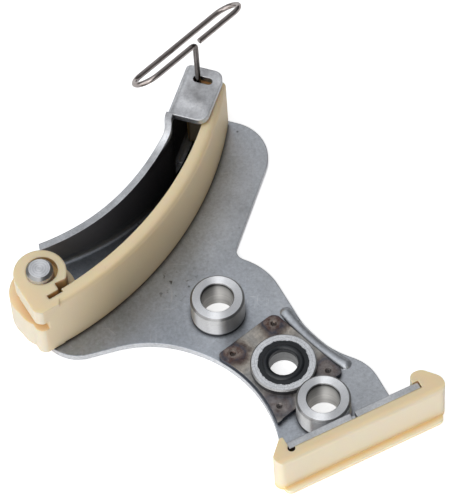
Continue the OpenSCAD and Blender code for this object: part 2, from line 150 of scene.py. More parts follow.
def ramp(tree, value, *stops):
    """A colour ramp from (position, colour) pairs; a plain number stands for a grey."""
    n = put(tree, "ValToRGB", {0: value})
    elements = n.color_ramp.elements
    while len(elements) < len(stops):
        elements.new(0.5)
    for e, (at, colour) in zip(elements, stops):
        e.position = at
        e.color = (colour,) * 3 + (1,) if isinstance(colour, (int, float)) else tuple(colour) + (1,)
    return n.outputs[0]


def blend(tree, amount, a, b, how="MIX"):
    """Mixes two colours; amount, a and b are values or sockets."""
    n = put(tree, "Mix", data_type="RGBA", blend_type=how)
    for index, value in ((0, amount), (6, a), (7, b)):
        if isinstance(value, bpy.types.NodeSocket):
            tree.links.new(value, n.inputs[index])
        else:
            n.inputs[index].default_value = value if index == 0 else tuple(value) + (1,)
    return n.outputs[2]


def grey(tree, value, colour):
    """A colour times a tone socket."""
    tone = put(tree, "CombineColor", {0: value, 1: value, 2: value}).outputs[0]
    return blend(tree, 1.0, colour, tone, "MULTIPLY")


def new_group(name, inputs, outputs):
    """An empty shader group; inputs are (name, kind, value), outputs are names of numbers."""
    tree = bpy.data.node_groups.new(name, "ShaderNodeTree")
    for socket, kind, value in inputs:
        made = tree.interface.new_socket(name=socket, in_out="INPUT", socket_type="NodeSocket" + kind)
        made.default_value = value
    for socket in outputs:
        tree.interface.new_socket(name=socket, in_out="OUTPUT", socket_type="NodeSocketFloat")
    return tree, tree.nodes.new("NodeGroupInput").outputs, tree.nodes.new("NodeGroupOutput").inputs


def place(tree, group, **inputs):
    """Puts a group into a material and sets its inputs by name, with _ for a space."""
    n = put(tree, "Group", node_tree=group)
    for key, value in inputs.items():
        n.inputs[key.replace("_", " ")].default_value = value
    return n.outputs


print("ramps, blends and groups ready")

# %% [markdown]
# ## Floor
# The photograph stands on white with hardly any shadow, and light comes up from the table as well: the
# faces near it glow. The floor could be lit until it burns out, but that would burn out the nylon too,
# so it is white and shines a little by itself, less so in mirrors, where the photograph is darker.

# %% White floor that keeps the shadow
floor_half, floor_drop = 3, mm(-0.2)
table_glow, more_when_seen, less_in_mirrors = 0.42, 0.2, 0.3
corners = [(x * floor_half, y * floor_half, 0) for x, y in ((-1, -1), (1, -1), (1, 1), (-1, 1))]
floor_mesh = bpy.data.meshes.new("floor")
floor_mesh.from_pydata(corners, [], [(0, 1, 2, 3)])
floor = bpy.data.objects.new("floor", floor_mesh)
floor.location.z = floor_drop
bpy.context.scene.collection.objects.link(floor)
paper = bpy.data.materials.new("white_floor")
paper.use_nodes = True
tree = paper.node_tree
base = tree.nodes["Principled BSDF"]
base.inputs["Base Color"].default_value = (0.9, 0.9, 0.9, 1)
base.inputs["Roughness"].default_value = 0.9
base.inputs["Emission Color"].default_value = (1, 1, 1, 1)
path = put(tree, "LightPath").outputs
glow = scaled(tree, path["Is Glossy Ray"], -less_in_mirrors, table_glow)
glow = scaled(tree, path["Is Camera Ray"], more_when_seen, glow)
tree.links.new(glow, base.inputs["Emission Strength"])
floor_mesh.materials.append(paper)
print("floor laid")

# %% [markdown]
# ## Sky and lamps
# The turned sleeves tell where the light stands: one broad bright band on their left half, with a hard
# right edge. Lamps alone would leave small glints there, so a wide white panel is painted into the sky,
# from beside the camera round to the left, and the rest of the sky is dim, most of all on the right.

# %% Sky with a white panel
panel_way, dim_way = (-0.906, -0.423, 0), (0.906, -0.423, 0)
panel_light, dim_light = (1.8, 1.8, 1.8), (0.03, 0.03, 0.03)
world = bpy.data.worlds.new("studio")
world.use_nodes = True
bpy.context.scene.world = world
tree = world.node_tree
east, north, rise = split(tree, put(tree, "TexCoord").outputs["Generated"])
sky = ramp(tree, scaled(tree, rise, 0.5, 0.5), (0.45, 0.16), (0.6, 0.14),
           (0.78, (0.52, 0.535, 0.56)), (0.93, (0.74, 0.755, 0.78)))
compass = vector_maths(tree, "NORMALIZE", level(tree, east, north))
dim = ramp(tree, measure(tree, "DOT_PRODUCT", compass, dim_way), (0.1, 0.0), (0.4, 0.8))
panel = product(tree, ramp(tree, measure(tree, "DOT_PRODUCT", compass, panel_way), (0.66, 0.0), (0.72, 1.0)),
                ramp(tree, rise, (0.0, 0.0), (0.06, 1.0), (0.72, 1.0), (0.82, 0.0)))
sky = blend(tree, dim, sky, dim_light)
sky = blend(tree, panel, sky, panel_light)
camera_ray = put(tree, "LightPath").outputs["Is Camera Ray"]
tree.links.new(blend(tree, camera_ray, sky, (1, 1, 1)), tree.nodes["Background"].inputs["Color"])
print("sky made")

# %% [markdown]
# A sky alone gives shade without a direction. Two square lamps add it, one in front of the panel and one
# overhead. They are large and close, as a studio's boxes are, so that the shadows stay soft.

# %% Two soft lamps


def softbox(name, at, target, size, watts):
    """A square lamp aimed at a point."""
    data = bpy.data.lights.new(name, "AREA")
    data.shape, data.size, data.energy = "SQUARE", size, watts
    lamp = bpy.data.objects.new(name, data)
    lamp.location = at
    lamp.rotation_mode = "QUATERNION"
    lamp.rotation_quaternion = (Vector(target) - Vector(at)).to_track_quat("-Z", "Y")
    bpy.context.scene.collection.objects.link(lamp)


softbox("key", (-0.55, -0.65, 0.9), aim, 0.7, 2.0)
softbox("overhead", (-0.1, -0.1, 1.1), aim, 0.5, 1.0)
bpy.context.scene.view_settings.view_transform = "Standard"
print("studio lit")

# %% [markdown]
# ## Shared surface effects
# Several finishes share the same accidents: cloudy colour, fine grain, little pits and hairline
# scratches. Each effect is one node group with named inputs, built once and placed in each material
# with its own values. Groups give out masks and values only; the shader stays in the material.
# The first is the tone: a large cloud and a small grain, both swinging round 1.

# %% Cloudy tone and fine grain
surface_tone, given, result = new_group(
    "surface_tone",
    [("Cloud Size", "Float", 90.0), ("Grain Size", "Float", 2200.0),
     ("Cloud", "Float", 0.3), ("Grain", "Float", 0.3)],
    ["Tone", "Grain"])
spot = put(surface_tone, "TexCoord").outputs["Object"]
cloud = cloudy(surface_tone, spot, given["Cloud Size"], 5.0, 0.6)
grain = cloudy(surface_tone, spot, given["Grain Size"], 2.0, 0.7)
tone = 1.0
for pattern, strength in ((cloud, "Cloud"), (grain, "Grain")):
    swing = maths(surface_tone, "SUBTRACT", pattern, 0.5)
    tone = scaled(surface_tone, swing, given[strength], tone)
surface_tone.links.new(tone, result["Tone"])
surface_tone.links.new(grain, result["Grain"])
print("group", surface_tone.name)

# %% [markdown]
# Metal that has lain in a box of parts has hairlines in a few directions and small dark pits. Lines
# could be drawn one by one, but noise stretched along a direction gives any number of them, each
# cut short where a second, larger noise fades them out. The pits are the middles of some Voronoi cells.

# %% Hairline scratches and dark pits
scuffs, given, result = new_group(
    "scuffs",
    [("Scratch Size", "Float", 60.0), ("Scratches", "Float", 0.5),
     ("Pit Size", "Float", 260.0), ("Pits", "Float", 0.5)],
    ["Scratch", "Pit"])
spot = put(scuffs, "TexCoord").outputs["Object"]
lines = 0.0
for angle, stretch in ((0.5, 9.0), (2.1, 11.0), (1.2, 8.0)):
    turned = put(scuffs, "Mapping", {"Vector": spot, "Rotation": (0, 0, angle)}).outputs[0]
    thin = put(scuffs, "Mapping", {"Vector": turned, "Scale": (1, stretch, 1)}).outputs[0]
    hair = cloudy(scuffs, thin, given["Scratch Size"], 1.0)
    lines = maths(scuffs, "MAXIMUM", lines, ramp(scuffs, hair, (0.7, 0.0), (0.73, 1.0)))
patches = ramp(scuffs, cloudy(scuffs, spot, 70.0, 1.0), (0.45, 0.1), (0.62, 1.0))
scuffs.links.new(product(scuffs, lines, patches, given["Scratches"]), result["Scratch"])
cells = put(scuffs, "TexVoronoi", {"Vector": spot, "Scale": given["Pit Size"], "Randomness": 1.0}).outputs
dot = ramp(scuffs, cells["Distance"], (0.05, 1.0), (0.13, 0.0))
chance = put(scuffs, "SeparateColor", {0: cells["Color"]}).outputs[0]
some = ramp(scuffs, chance, (0.86, 0.0), (0.9, 1.0))
scuffs.links.new(product(scuffs, dot, some, given["Pits"]), result["Pit"])
print("group", scuffs.name)

# %% [markdown]
# Turned pieces show the tool's path: rings on the faces and fine lines round the sides. Both follow
# from one number, the distance from the piece's own axis, mixed with the height. A wave texture could
# draw them, but a sine of the distance lets the same group serve every sleeve, ring and pin.

# %% Tool marks of turned steel
tool_marks, given, result = new_group(
    "tool_marks",
    [("Axis", "Vector", (0, 0, 0)), ("Rings", "Float", 9000.0), ("Lines", "Float", 7000.0)],
    ["Height", "Radius"])
spot = vector_maths(tool_marks, "SUBTRACT", put(tool_marks, "TexCoord").outputs["Object"], given["Axis"])
x, y, z = split(tool_marks, spot)
radius = measure(tool_marks, "LENGTH", level(tool_marks, x, y))
wander = scaled(tool_marks, cloudy(tool_marks, spot, 500.0, 2.0), 5.0)
phase = scaled(tool_marks, radius, given["Rings"], scaled(tool_marks, z, given["Lines"], wander))
mark = scaled(tool_marks, maths(tool_marks, "SINE", phase), 0.5, 0.5)
tool_marks.links.new(mark, result["Height"])
tool_marks.links.new(radius, result["Radius"])
print("group", tool_marks.name)

# %% [markdown]
# ## Materials
# Every finish is one Principled shader. Values that are the same all over go straight onto its sockets,
# and only what changes over the surface is linked. Its normal takes a bump, and on thin sheet and on the
# blade also a Bevel node, which rounds edges for the light and leaves the shape alone.

# %% Materials and bumps


def material(name, **plain):
    """A Principled material; plain values go straight onto the shader's own sockets."""
    m = bpy.data.materials.new(name)
    m.use_nodes = True
    shader = m.node_tree.nodes["Principled BSDF"]
    for key, value in plain.items():
        shader.inputs[key.replace("_", " ")].default_value = value
    return m, m.node_tree, shader


def bump(tree, shader, height, depth_mm, edge_mm=0.0):
    """Feeds a height into the shader's normal, over edges rounded in the shading; both in millimetres."""
    n = put(tree, "Bump", {"Height": height, "Distance": mm(depth_mm)})
    if edge_mm:
        soft = put(tree, "Bevel", {"Radius": mm(edge_mm)}, samples=6)
        tree.links.new(soft.outputs[0], n.inputs["Normal"])
    tree.links.new(n.outputs[0], shader.inputs["Normal"])


print("material helpers ready")

# %% [markdown]
# ## The bracket's sheet steel
# The sheet is plain rolled steel: satin grey and bluer to the left, with painted shade that makes it
# darker to the left, a fine speckle, a few pits and hairlines, one cluster of dark specks and one patch
# of bright scrapes. A painted texture could place these, but the two local marks only need the distance
# from a point on the plan.

# %% Plain sheet, specks and scrapes
speck_place, scrape_place = mm(-13, 37, 0), mm(4.2, 24.5, 0)
sheet_steel, tree, shader = material("sheet_steel", Specular_IOR_Level=0.12)
tone = place(tree, surface_tone, Cloud_Size=60.0, Grain_Size=1300.0, Cloud=0.7, Grain=0.7)
mark = place(tree, scuffs, Scratch_Size=120.0, Scratches=0.3, Pit_Size=300.0, Pits=0.7)
spot = put(tree, "TexCoord").outputs["Object"]
x, y, z = split(tree, spot)
plan = level(tree, x, y)
# Bluer towards the left, and darker there with painted shade.
across = ramp(tree, scaled(tree, x, 16.0, 0.75), (0.0, (0.355, 0.39, 0.45)),
              (0.75, (0.575, 0.605, 0.65)), (0.95, (0.56, 0.58, 0.61)))
colour = grey(tree, tone["Tone"], across)
colour = blend(tree, mark["Scratch"], colour, (0.75, 0.75, 0.76))
colour = blend(tree, mark["Pit"], colour, (0.06, 0.06, 0.06))
by_specks = scaled(tree, measure(tree, "DISTANCE", plan, speck_place), 125.0)
specks = product(tree, ramp(tree, cloudy(tree, spot, 520.0, 3.0, 0.6), (0.61, 0.0), (0.66, 0.85)),
                 ramp(tree, by_specks, (0.3, 1.0), (1.0, 0.0)))
colour = blend(tree, specks, colour, (0.1, 0.1, 0.1))
by_scrape = scaled(tree, measure(tree, "DISTANCE", plan, scrape_place), 110.0)
hairs = place(tree, scuffs, Scratch_Size=260.0, Scratches=0.9, Pits=0.0)["Scratch"]
scrape = product(tree, hairs, ramp(tree, by_scrape, (0.4, 1.0), (1.0, 0.0)))
colour = blend(tree, scrape, colour, (0.85, 0.86, 0.88))
print("sheet toned")

# %% [markdown]
# The inner face of the curved flange lies in deep shade, painted nearly black, and so does the floor of
# the trench between flange and blade. Both could be separate materials on chosen faces, but the solid's
# faces may be cut anew each time the solids are made. Masks from where a point lies and which way it
# faces stay right.

# %% Masks of the inner wall and the trench
flange_centre, flange_from = mm(-30.1, 114, 0), mm(56.8)
bow_axis = (-56.6, 128.2, 0)
blade_centre, blade_to = mm(*bow_axis), mm(92.5)
wall_from = mm(48)
normal = put(tree, "NewGeometry").outputs["True Normal"]
upright = split(tree, normal)[2]
high = scaled(tree, z, 40.0)
inward = measure(tree, "DOT_PRODUCT", normal, (0.5, -0.87, 0))
# Where painted shade darkens the flange's inner wall.
wall = product(tree, ramp(tree, inward, (0.5, 0.0), (0.66, 1.0)),
               ramp(tree, high, (0.09, 0.0), (0.2, 1.0), (0.84, 1.0), (0.88, 0.0)),
               maths(tree, "GREATER_THAN", y, wall_from))
by_flange = measure(tree, "DISTANCE", plan, flange_centre)
by_blade = measure(tree, "DISTANCE", plan, blade_centre)
# Where painted shade darkens the trench floor.
trench = product(tree, maths(tree, "GREATER_THAN", by_flange, flange_from),
                 maths(tree, "LESS_THAN", by_blade, blade_to),
                 ramp(tree, high, (0.2, 1.0), (0.24, 0.0)),
                 ramp(tree, scaled(tree, x, 20.0, 0.9), (0.0, 0.25), (0.75, 0.96)))
print("wall and trench masked")

# %% [markdown]
# Ambient occlusion paints shade into the inside corners. The tops of the flanges and the folded tab are
# paler and dished by the press: the guide flange's sheared top is a paler finish, while the tab's paler
# top, blotched light and dark, is a painted highlight and painted reflection. The cut rim of the sheet is
# bright, partly its sheared finish and partly a painted highlight. The dark masks of painted shade go on
# last. The tab's dishing is also a bump, too shallow to be worth a shape.

# %% Corners, tops and rims of the sheet
# Painted shade in the inside corners, from ambient occlusion.
corner_shade = put(tree, "AmbientOcclusion", {"Distance": mm(2.2)}, samples=8).outputs["AO"]
colour = blend(tree, ramp(tree, corner_shade, (0.45, 0.75), (0.8, 0.0)), colour, (0.06, 0.06, 0.065))
top = product(tree, ramp(tree, upright, (0.6, 0.0), (0.8, 1.0)), ramp(tree, high, (0.3, 0.0), (0.34, 1.0)))
top_tone = ramp(tree, high, (0.8, (0.57, 0.58, 0.6)), (0.92, (0.93, 0.94, 0.96)))
guide_side = maths(tree, "LESS_THAN", y, 0.0)
top_tone = blend(tree, guide_side, top_tone, (0.8, 0.81, 0.83))
# The tab's paler top and its light and dark blotches are a painted highlight and painted reflection; the
# guide flange's paler top is its sheared finish.
dish = cloudy(tree, spot, 130.0, 1.0)
dish_reflection = product(tree, tone["Tone"], ramp(tree, dish, (0.3, 0.74), (0.7, 1.0)))
colour = blend(tree, top, colour, grey(tree, dish_reflection, top_tone))
# The cut rim: partly its sheared finish, partly a painted highlight.
rim = product(tree, ramp(tree, maths(tree, "ABSOLUTE", upright), (0.4, 1.0), (0.9, 0.0)),
              ramp(tree, high, (0.1, 1.0), (0.11, 0.0)))
colour = blend(tree, rim, colour, grey(tree, tone["Tone"], (0.66, 0.67, 0.69)))
# Painted shade: the trench floor nearly black, and the inner wall dark, darker towards the right.
colour = blend(tree, trench, colour, (0.02, 0.02, 0.022))
painted_shade = ramp(tree, scaled(tree, x, 20.0, 0.86), (0.0, (0.2, 0.2, 0.21)), (0.25, (0.13, 0.13, 0.14)),
            (0.5, (0.05, 0.05, 0.057)), (0.75, (0.022, 0.022, 0.026)))
colour = blend(tree, wall, colour, painted_shade)
tree.links.new(colour, shader.inputs["Base Color"])
tree.links.new(maths(tree, "SUBTRACT", 1.0, wall), shader.inputs["Metallic"])
rough = scaled(tree, tone["Grain"], 0.2, 0.34)
tree.links.new(scaled(tree, wall, 0.12, rough), shader.inputs["Roughness"])
hammered = product(tree, dish, 40.0, ramp(tree, high, (0.72, 0.0), (0.8, 1.0)))
bump(tree, shader, maths(tree, "ADD", tone["Grain"], hammered), 0.03, 0.35)
finish = {"bracket": sheet_steel}
print("made", sheet_steel.name)

# %% [markdown]
# ## Turned steel
# Sleeves, feed ring and pivot pin are turned, so they share the tool marks and differ in brightness and
# in how fine the marks are. Marks too fine to see stretch a highlight round the axis: anisotropy with a
# tangent round the axis does that. Their bores are streaked, darkened towards the upper edge with
# painted shade, and paler lower down with painted light.

# %% Turned steel


def turned_steel(name, axis_mm, face, wall, rough, rings, lines, depth, stretch=0.0, side=0.0,
                 foot=-9.0, speckle=0.3, bore=None):
    """Steel with marks round an axis. Faces, walls and chamfers differ in tone, partly in finish and partly
    as painted light and shade; side is added to the roughness of walls, and a dark line of painted contact
    shadow runs round the wall at the height foot, in millimetres."""
    outer_from, bore_to = mm(5.5), mm(4.4)
    m, tree, shader = material(name, Metallic=1.0, Anisotropic=stretch, Anisotropic_Rotation=0.25)
    from_axis = vector_maths(tree, "SUBTRACT", put(tree, "TexCoord").outputs["Object"], mm(*axis_mm))
    tree.links.new(vector_maths(tree, "CROSS_PRODUCT", (0, 0, 1), from_axis), shader.inputs["Tangent"])
    marks = place(tree, tool_marks, Axis=mm(*axis_mm), Rings=rings, Lines=lines)
    tone = place(tree, surface_tone, Cloud_Size=220.0, Grain_Size=2400.0, Cloud=0.35, Grain=speckle)
    upright = split(tree, put(tree, "NewGeometry").outputs["True Normal"])[2]
    # Paler faces, darker walls and chamfers by which way they point: partly the finish, partly painted light
    # and shade.
    steel = ramp(tree, upright, (0.12, wall), (0.3, 0.3), (0.85, 0.3), (0.95, face))
    lined = scaled(tree, marks["Height"], 0.16, 0.9)
    steel = grey(tree, product(tree, tone["Tone"], lined), steel)
    height = split(tree, from_axis)[2]
    # A dark line of painted contact shadow round the foot of the outer wall.
    low = ramp(tree, scaled(tree, height, 1000.0, 0.5 - foot), (0.3, 1.0), (0.7, 0.0))
    outside = maths(tree, "GREATER_THAN", marks["Radius"], outer_from)
    steel = blend(tree, product(tree, low, outside), steel, (0.05, 0.05, 0.055))
    spread = ramp(tree, upright, (0.1, side), (0.5, side * 0.6), (0.9, 0.0))
    satin = maths(tree, "ADD", scaled(tree, tone["Grain"], 0.08, rough), spread)
    if bore:
        inside = product(tree, maths(tree, "LESS_THAN", marks["Radius"], bore_to),
                         maths(tree, "LESS_THAN", upright, 0.1))
        drawn_out = put(tree, "Mapping", {"Vector": from_axis, "Scale": (30, 30, 900)}).outputs[0]
        streak = scaled(tree, cloudy(tree, drawn_out, 1.0, 3.0), 0.9, 0.5)
        # Painted shade darkens the bore towards its upper edge; painted light makes it paler lower down.
        deep = ramp(tree, scaled(tree, height, 100.0),
                    (0.3, 1.0), (0.72, 0.64), (0.83, 0.36), (0.88, 0.07))
        deep = blend(tree, 1.0, deep, bore, "MULTIPLY")
        steel = blend(tree, inside, steel, grey(tree, streak, deep))
        satin = scaled(tree, inside, 0.25, satin)
    tree.links.new(steel, shader.inputs["Base Color"])
    tree.links.new(satin, shader.inputs["Roughness"])
    bump(tree, shader, marks["Height"], depth)
    return m


print("turned steel ready")

# %% [markdown]
# The two sleeves are alike and bright, the ring is coarser with its side painted dark with shade, and
# the pin's face is greyer. One function with their own axes serves all four. The leaf spring is rolled
# strip, whose lines follow its own bow round the blade's centre, so it takes the same finish, black.

# %% Sleeves, ring, pin and strip
bright, middling, black = (0.93, 0.935, 0.95), (0.64, 0.635, 0.63), (0.07, 0.07, 0.075)
sleeve_axes = {"upper": (-7.2, 23.2, 0), "lower": (3, -16.5, 0)}
feed_axis, pivot_axis = (0, 0, 0), (-46.8, 44.7, 0)
for end, axis in sleeve_axes.items():
    finish[end + "_sleeve"] = turned_steel("turned_" + end, axis, bright, middling, rough=0.26,
                                           rings=24000.0, lines=9000.0, depth=0.0012, stretch=1.0,
                                           side=0.13, foot=2.7, bore=(0.95, 0.93, 0.9))
finish["feed_ring"] = turned_steel("ring_steel", feed_axis, (0.85, 0.86, 0.88), black, rough=0.4,
                                   rings=9000.0, lines=9000.0, depth=0.003, speckle=0.9,
                                   bore=(0.5, 0.5, 0.5))
finish["pivot_pin"] = turned_steel("pin_steel", pivot_axis, (0.78, 0.785, 0.8), middling, rough=0.32,
                                   rings=9000.0, lines=4000.0, depth=0.003, stretch=0.6, side=0.1)
finish["leaf_spring"] = turned_steel("strip_steel", bow_axis, black, black, rough=0.35,
                                     rings=0.0, lines=12000.0, depth=0.004, stretch=0.5)
print("made", len(finish), "steels")

# %% [markdown]
# ## Drawn wire
# The lock pin is one bent wire, brownish grey and shiny in its loop. Its stem is painted dark with
# shade, more so towards the slot. The stem and the loop could be two materials, but a mask from the
# distance to the stem's axis lets one fade into the other in the bend.

# %% Wire of the lock pin
stem_axis = mm(15.5, 77.9, 0)
wire_steel, tree, shader = material("wire_steel", Metallic=1.0)
tone = place(tree, surface_tone, Cloud_Size=400.0, Grain_Size=2400.0, Cloud=0.8, Grain=0.5)
x, y, z = split(tree, put(tree, "TexCoord").outputs["Object"])
by_stem = scaled(tree, measure(tree, "DISTANCE", level(tree, x, y), stem_axis), 400.0)
loop = ramp(tree, by_stem, (0.45, 0.0), (0.75, 1.0))
# Painted shade on the stem, darker towards the slot.
painted_shade = ramp(tree, scaled(tree, z, 25.0), (0.62, (0.045, 0.039, 0.036)), (0.9, (0.17, 0.15, 0.14)))
drawn = blend(tree, loop, painted_shade, (0.43, 0.38, 0.36))
tree.links.new(grey(tree, tone["Tone"], drawn), shader.inputs["Base Color"])
tree.links.new(scaled(tree, tone["Grain"], 0.2, 0.1), shader.inputs["Roughness"])
bump(tree, shader, tone["Grain"], 0.01)
finish["lock_pin"] = wire_steel
print("made", wire_steel.name)

# %% [markdown]
# ## Heat-tinted plate
# The square plate was welded on at four spots. Steel that is heated in air takes on bands of colour:
# straw, brown, purple, then blue-black. Each spot's distance drives one ramp of those bands, and noise
# bends the rings so that they don't look drawn with a compass. The noise shifts every point by half its
# reach on average, so the middles of the bands are shifted by as much.

# %% Bands of heat tint round the welds
weld_spots = ((3.6, 12.7), (9.5, -6.6), (-6.4, -10), (-9.8, 9.6))
plate_height, stir_reach = 3.4, 5.0
tinted_plate, tree, shader = material("tinted_plate", Metallic=0.9)
spot = put(tree, "TexCoord").outputs["Object"]
stir = put(tree, "TexNoise", {"Vector": spot, "Scale": 210.0, "Detail": 4.0}).outputs["Color"]
stirred = put(tree, "VectorMath", {0: stir, 1: mm(stir_reach, stir_reach, 0), 2: spot},
              operation="MULTIPLY_ADD").outputs[0]


def nearest(tree, spot, shift):
    """The distance to the nearest weld, with the welds shifted in x and y."""
    middles = [mm(x + shift, y + shift, plate_height) for x, y in weld_spots]
    distances = [measure(tree, "DISTANCE", spot, middle) for middle in middles]
    least = distances[0]
    for other in distances[1:]:
        least = maths(tree, "MINIMUM", least, other)
    return least


heat = scaled(tree, nearest(tree, stirred, stir_reach / 2), 1 / mm(9))
bands = ramp(tree, heat, (0.0, (0.3, 0.24, 0.21)), (0.12, (0.33, 0.27, 0.235)),
             (0.24, (0.2, 0.155, 0.14)), (0.33, (0.085, 0.085, 0.105)), (0.43, (0.22, 0.18, 0.155)),
             (0.56, (0.5, 0.455, 0.4)), (0.85, (0.44, 0.43, 0.41)))
print("heat bands round", len(weld_spots), "welds")

# %% [markdown]
# Over the bands lie rust mottle near the welds, a grey haze on the lower half, a pale ring and a dark
# middle at each weld's dimple, and a blue-black rim round the plate. Each is a mask and a colour; the
# rim takes the plate's own turn on the bracket, so that it follows the square.

# %% Rust, haze, dimples and rim of the plate
lower = ramp(tree, scaled(tree, split(tree, spot)[1], 40.0, 0.5), (0.25, 1.0), (0.6, 0.0))
bands = blend(tree, scaled(tree, lower, 0.55), bands, (0.24, 0.24, 0.25))
mottle = cloudy(tree, spot, 520.0, 5.0, 0.65)
rust = product(tree, ramp(tree, mottle, (0.47, 0.0), (0.6, 0.85)), ramp(tree, heat, (0.25, 1.0), (0.5, 0.15)),
               scaled(tree, lower, -0.55, 1.0))
bands = blend(tree, rust, bands, (0.1, 0.048, 0.036))
dimple = scaled(tree, nearest(tree, spot, 0), 1 / mm(3))
bands = blend(tree, ramp(tree, dimple, (0.2, 0.0), (0.34, 0.5), (0.45, 0.0)), bands, (0.3, 0.27, 0.25))
bands = blend(tree, ramp(tree, dimple, (0.12, 0.9), (0.28, 0.0)), bands, (0.02, 0.018, 0.018))
square = put(tree, "Mapping", {"Vector": spot, "Rotation": (0, 0, -0.25),
                               "Location": mm(1, -1.3, 0)}).outputs[0]
side = split(tree, vector_maths(tree, "ABSOLUTE", square))
outer = maths(tree, "MAXIMUM", scaled(tree, side[0], 94.0), scaled(tree, side[1], 80.0))
tone = place(tree, surface_tone, Cloud_Size=420.0, Grain_Size=1600.0, Cloud=1.3, Grain=1.0)
rim = ramp(tree, scaled(tree, tone["Tone"], 0.25, outer), (1.05, 0.0), (1.2, 1.0))
upright = split(tree, put(tree, "NewGeometry").outputs["True Normal"])[2]
rim = maths(tree, "MAXIMUM", rim, ramp(tree, upright, (0.3, 1.0), (0.6, 0.0)))
tinted = grey(tree, tone["Tone"], blend(tree, rim, bands, (0.035, 0.042, 0.06)))
tree.links.new(tinted, shader.inputs["Base Color"])
tree.links.new(scaled(tree, tone["Grain"], 0.2, 0.3), shader.inputs["Roughness"])
bump(tree, shader, tone["Grain"], 0.02, 0.25)
finish["weld_plate"] = tinted_plate
print("made", tinted_plate.name)

# %% [markdown]
# ## Nylon
# Natural nylon is cream and slightly see-through: light enters, scatters and comes out warmer.
# Subsurface scattering does this, but over a few millimetres only, so inside corners, where light goes
# back and forth between the walls, are also given a painted amber shade by ambient occlusion.

# %% Cloudy nylon


def nylon(name, colour, warm, overlay, edge_mm=0.0):
    """Cloudy nylon; overlay gives pairs of a mask and a colour to lay over it, most of them painted light and
    shade.
    """
    m, tree, shader = material(name, Subsurface_Weight=0.35, Subsurface_Scale=mm(4),
                               Subsurface_Radius=(1.0, 0.55, 0.2))
    tone = place(tree, surface_tone, Cloud_Size=70.0, Grain_Size=1500.0, Cloud=0.5, Grain=0.12)
    share = maths(tree, "SUBTRACT", tone["Tone"], 0.6, clamp=True)
    base = blend(tree, share, warm, colour)
    xyz = split(tree, put(tree, "TexCoord").outputs["Object"])
    for amount, over in overlay(tree, xyz, put(tree, "NewGeometry").outputs["True Normal"]):
        base = blend(tree, amount, base, over)
    # Painted amber shade in the inside corners, from ambient occlusion.
    corner_shade = put(tree, "AmbientOcclusion", {"Distance": mm(7)}, samples=8).outputs["AO"]
    base = blend(tree, ramp(tree, corner_shade, (0.25, 1.0), (0.75, 0.0)), base, (0.8, 0.6, 0.35), "MULTIPLY")
    tree.links.new(base, shader.inputs["Base Color"])
    tree.links.new(scaled(tree, tone["Grain"], 0.18, 0.32), shader.inputs["Roughness"])
    bump(tree, shader, tone["Grain"], 0.015, edge_mm)
    return m


print("nylon ready")

# %% [markdown]
# The blade's running face is greyer towards the plate and along its middle, partly grime where the chain
# rubs and partly painted shade; its top is warm and its left side pale, both painted light, and the end
# under the tab is darkened with painted shade. Which way a surface faces, and where it lies along the
# blade, is enough to tell these places apart.

# %% Blade


def facing(tree, normal, way, *stops):
    """A ramp over how far a surface faces a direction: 1 straight at it, 0 side on."""
    return ramp(tree, measure(tree, "DOT_PRODUCT", normal, way), *stops)


def blade_light_and_grime(tree, xyz, normal):
    """Painted light on the pale left side and the warm top, grime and painted shade on the running face,
    and painted shade on the end under the tab.
    """
    x, y, z = xyz
    # Painted light: the left side, which faces the bright panel in the sky, is paler, and the top is warmer.
    left = facing(tree, normal, (-0.9, -0.43, 0), (0.15, 0.0), (0.6, 1.0))
    top = facing(tree, normal, (0, 0, 1), (0.6, 0.0), (0.9, 0.8))
    running = facing(tree, normal, (0.75, -0.66, 0), (0.5, 0.0), (0.75, 1.0))
    along = ramp(tree, scaled(tree, x, 16.0, 0.8), (0.05, 0.0), (0.35, 0.72), (0.75, 0.32), (1.0, 0.05))
    low = ramp(tree, scaled(tree, z, 40.0), (0.1, 1.0), (0.85, 0.35))
    # The running face darker towards the plate and along its middle: partly grime, partly painted shade.
    grime_and_shade = product(tree, running, along, low)
    # Painted shade on the end under the tab.
    end = facing(tree, normal, (-0.71, -0.71, 0), (0.6, 0.0), (0.85, 1.0))
    shade_under_tab = product(tree, ramp(tree, scaled(tree, y, 10.0), (0.58, 0.0), (0.62, 1.0)), end)
    return ((left, (0.69, 0.62, 0.48)), (top, (0.94, 0.77, 0.51)), (grime_and_shade, (0.3, 0.25, 0.16)),
            (shade_under_tab, (0.14, 0.115, 0.07)))


finish["tensioner_blade"] = nylon("blade_nylon", (0.77, 0.64, 0.425), (0.72, 0.55, 0.32), blade_light_and_grime, 0.7)
print("made", finish["tensioner_blade"].name)

# %% [markdown]
# The guide shoe is paler. Its top edge is warm with painted light, the thin lip along its foot lets light
# through and is made paler still with painted light, the amber crease above is painted light too, and a
# dark line of painted shade lies in the gap where the shoe grips the flange.

# %% Guide shoe


def shoe_light_and_shade(tree, xyz, normal):
    """Painted light on the warm top edge, the amber crease and the thin lip along the foot, and painted
    shade in the gap beside the flange.
    """
    x, y, z = xyz
    gap_from, gap_to = mm(-11.2), mm(25.4)
    # Painted light: a warmer top, an amber crease low down, and a paler lip along the foot.
    top = facing(tree, normal, (0, 0, 1), (0.6, 0.0), (0.9, 0.7))
    low = ramp(tree, scaled(tree, z, 250.0), (0.3, 0.75), (0.4, 0.45), (0.8, 0.0))
    lip = ramp(tree, scaled(tree, y, -250.0, -7.5), (0.3, 0.0), (0.55, 1.0))
    # Painted shade: a dark line in the gap beside the flange.
    beside = scaled(tree, y, 1000.0, 28.4)
    gap = product(tree, ramp(tree, beside, (0.45, 0.0), (0.8, 0.8)), maths(tree, "LESS_THAN", beside, 1.1),
                  maths(tree, "GREATER_THAN", x, gap_from), maths(tree, "LESS_THAN", x, gap_to), top)
    return ((top, (0.9, 0.69, 0.41)), (low, (0.97, 0.77, 0.4)), (lip, (0.97, 0.88, 0.7)),
            (gap, (0.2, 0.12, 0.05)))


